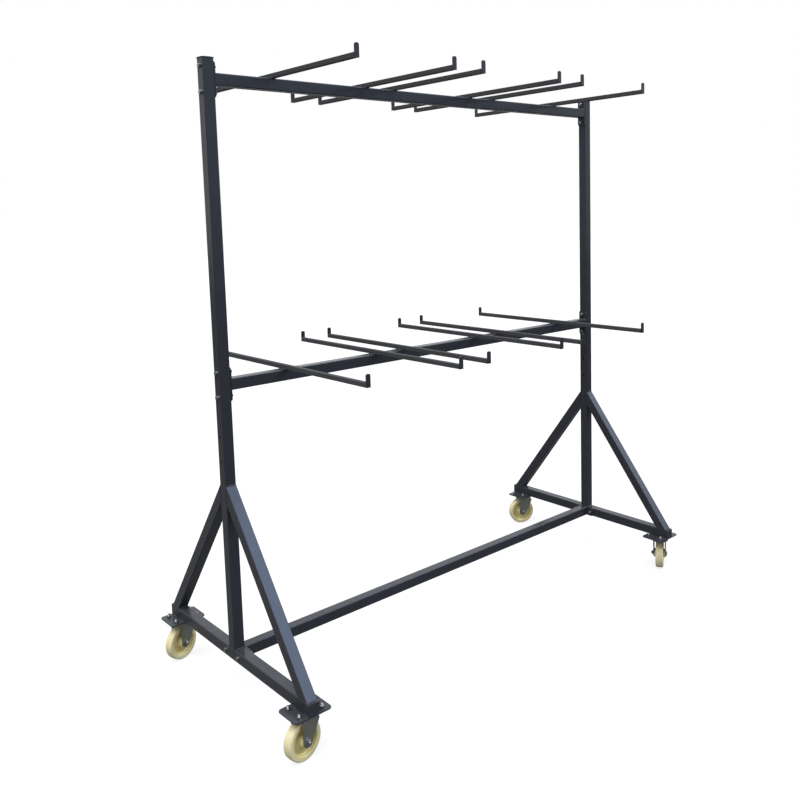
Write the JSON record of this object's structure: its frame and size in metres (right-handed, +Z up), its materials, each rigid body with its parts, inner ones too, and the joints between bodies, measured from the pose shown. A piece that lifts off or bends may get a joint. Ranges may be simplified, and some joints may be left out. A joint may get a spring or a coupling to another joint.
{
  "type": "folding chair cart",
  "caption": "Rolling steel cart with two tiers of paired arms for hanging folded chairs, on a bolted square tube frame with braced feet and swivel casters.",
  "frame": {"origin": "middle of the cart on the floor, midway between the two posts", "axes": "+Z up, +X along the rails from the left end frame to the right one, +Y along the arms from front to rear"},
  "size_m": [2.0224, 0.94, 2.101],
  "materials": {
    "frame_paint": "slate blue-grey powder coat, satin, light dust and scuffs",
    "bright_zinc": "bright zinc plate, slightly dulled",
    "caster_zinc": "grey zinc plate on pressed steel",
    "nylon": "natural cream nylon, slightly see-through in its thin web, greyed at the tread",
    "black_plastic": "black moulded plastic"
  },
  "bodies": {
    "root": {"left_post": "frame_paint", "right_post": "frame_paint", "left_front_brace": "frame_paint", "left_rear_brace": "frame_paint", "right_front_brace": "frame_paint", "right_rear_brace": "frame_paint", "left_foot_tube": "frame_paint", "right_foot_tube": "frame_paint", "foot_end_plates": "frame_paint", "mount_plates": "frame_paint", "top_rail": "frame_paint", "mid_rail": "frame_paint", "lower_rail": "frame_paint", "top_rail_end_plates": "frame_paint", "mid_rail_end_plates": "frame_paint", "lower_rail_end_plates": "frame_paint", "top_arm_1": "frame_paint", "top_arm_2": "frame_paint", "top_arm_3": "frame_paint", "top_arm_4": "frame_paint", "top_arm_5": "frame_paint", "top_arm_6": "frame_paint", "mid_arm_1": "frame_paint", "mid_arm_2": "frame_paint", "mid_arm_3": "frame_paint", "mid_arm_4": "frame_paint", "mid_arm_5": "frame_paint", "mid_arm_6": "frame_paint", "top_arm_stops": "frame_paint", "mid_arm_stops": "frame_paint", "post_caps": "black_plastic", "frame_bolts": "bright_zinc", "frame_nuts": "bright_zinc", "frame_washers": "bright_zinc", "plate_bolts": "bright_zinc", "plate_nuts": "bright_zinc", "caster_top_plates": "caster_zinc", "kingpins": "caster_zinc", "swivel_balls": "caster_zinc"},
    "front_left_caster": {"front_left_fork": "caster_zinc", "front_left_axle": "bright_zinc", "front_left_axle_nut": "bright_zinc", "front_left_bush": "caster_zinc"},
    "front_left_roller": {"front_left_wheel": "nylon"},
    "rear_left_caster": {"rear_left_fork": "caster_zinc", "rear_left_axle": "bright_zinc", "rear_left_axle_nut": "bright_zinc", "rear_left_bush": "caster_zinc"},
    "rear_left_roller": {"rear_left_wheel": "nylon"},
    "rear_right_caster": {"rear_right_fork": "caster_zinc", "rear_right_axle": "bright_zinc", "rear_right_axle_nut": "bright_zinc", "rear_right_bush": "caster_zinc"},
    "rear_right_roller": {"rear_right_wheel": "nylon"},
    "front_right_caster": {"front_right_fork": "caster_zinc", "front_right_axle": "bright_zinc", "front_right_axle_nut": "bright_zinc", "front_right_bush": "caster_zinc"},
    "front_right_roller": {"front_right_wheel": "nylon"}
  },
  "joints": [
    {"name": "front_left_swivel", "type": "hinge", "parent": "root", "child": "front_left_caster", "pos_m": [-0.935, -0.405, 0.1385], "axis": [0, 0, 1], "continuous": true},
    {"name": "front_left_spin", "type": "hinge", "parent": "front_left_caster", "child": "front_left_roller", "pos_m": [-0.9508, -0.4075, 0.0625], "axis": [0.1564, -0.9877, 0], "continuous": true},
    {"name": "rear_left_swivel", "type": "hinge", "parent": "root", "child": "rear_left_caster", "pos_m": [-0.935, 0.405, 0.1385], "axis": [0, 0, 1], "continuous": true},
    {"name": "rear_left_spin", "type": "hinge", "parent": "rear_left_caster", "child": "rear_left_roller", "pos_m": [-0.95022, 0.40006, 0.0625], "axis": [0.309, -0.9511, 0], "continuous": true},
    {"name": "rear_right_swivel", "type": "hinge", "parent": "root", "child": "rear_right_caster", "pos_m": [0.935, 0.405, 0.1385], "axis": [0, 0, 1], "continuous": true},
    {"name": "rear_right_spin", "type": "hinge", "parent": "rear_right_caster", "child": "rear_right_roller", "pos_m": [0.9205, 0.41176, 0.0625], "axis": [-0.4226, -0.9063, 0], "continuous": true},
    {"name": "front_right_swivel", "type": "hinge", "parent": "root", "child": "front_right_caster", "pos_m": [0.935, -0.405, 0.1385], "axis": [0, 0, 1], "continuous": true},
    {"name": "front_right_spin", "type": "hinge", "parent": "front_right_caster", "child": "front_right_roller", "pos_m": [0.94886, -0.397, 0.0625], "axis": [-0.5, 0.866, 0], "continuous": true}
  ]
}
